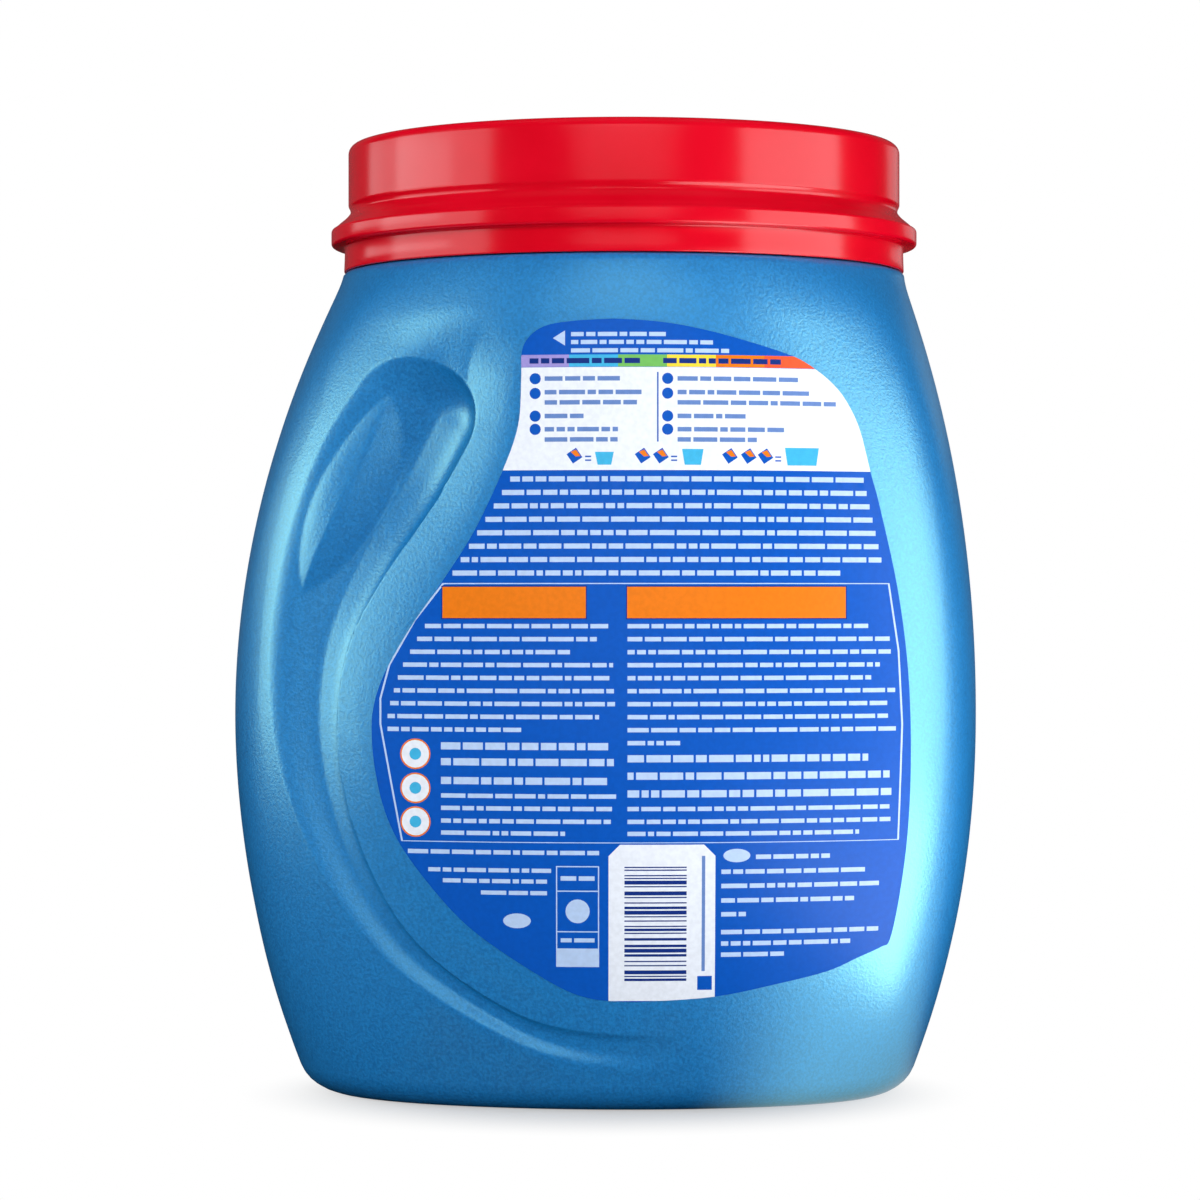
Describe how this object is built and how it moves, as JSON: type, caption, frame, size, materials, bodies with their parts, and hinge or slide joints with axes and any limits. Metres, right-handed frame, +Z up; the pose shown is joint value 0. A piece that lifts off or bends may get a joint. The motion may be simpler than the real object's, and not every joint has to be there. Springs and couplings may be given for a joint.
{
  "type": "laundry pod tub",
  "caption": "Wide plastic tub with a rounded belly, a pinch grip pressed into both faces, a round screw lid set to one side and a printed film label.",
  "frame": {"origin": "on the ground, under the middle of the tub's overall box", "axes": "+Z up, -Y out of the labelled face, +X to the right when the labelled face is seen from the front"},
  "size_m": [0.2084, 0.1654, 0.2659],
  "materials": {
    "tub_plastic": "pearlescent blue moulded plastic with a fine satin grain",
    "lid_plastic": "glossy red moulded plastic",
    "label_film": "deep blue printed plastic film with a soft sheen"
  },
  "bodies": {
    "tub": {"tub": "tub_plastic", "label_back": "label_film"},
    "lid": {"lid": "lid_plastic"}
  },
  "joints": [
    {"name": "lid_lift", "type": "slide", "parent": "tub", "child": "lid", "axis": [0, 0, 1], "range_m": [0, 0.06]}
  ]
}
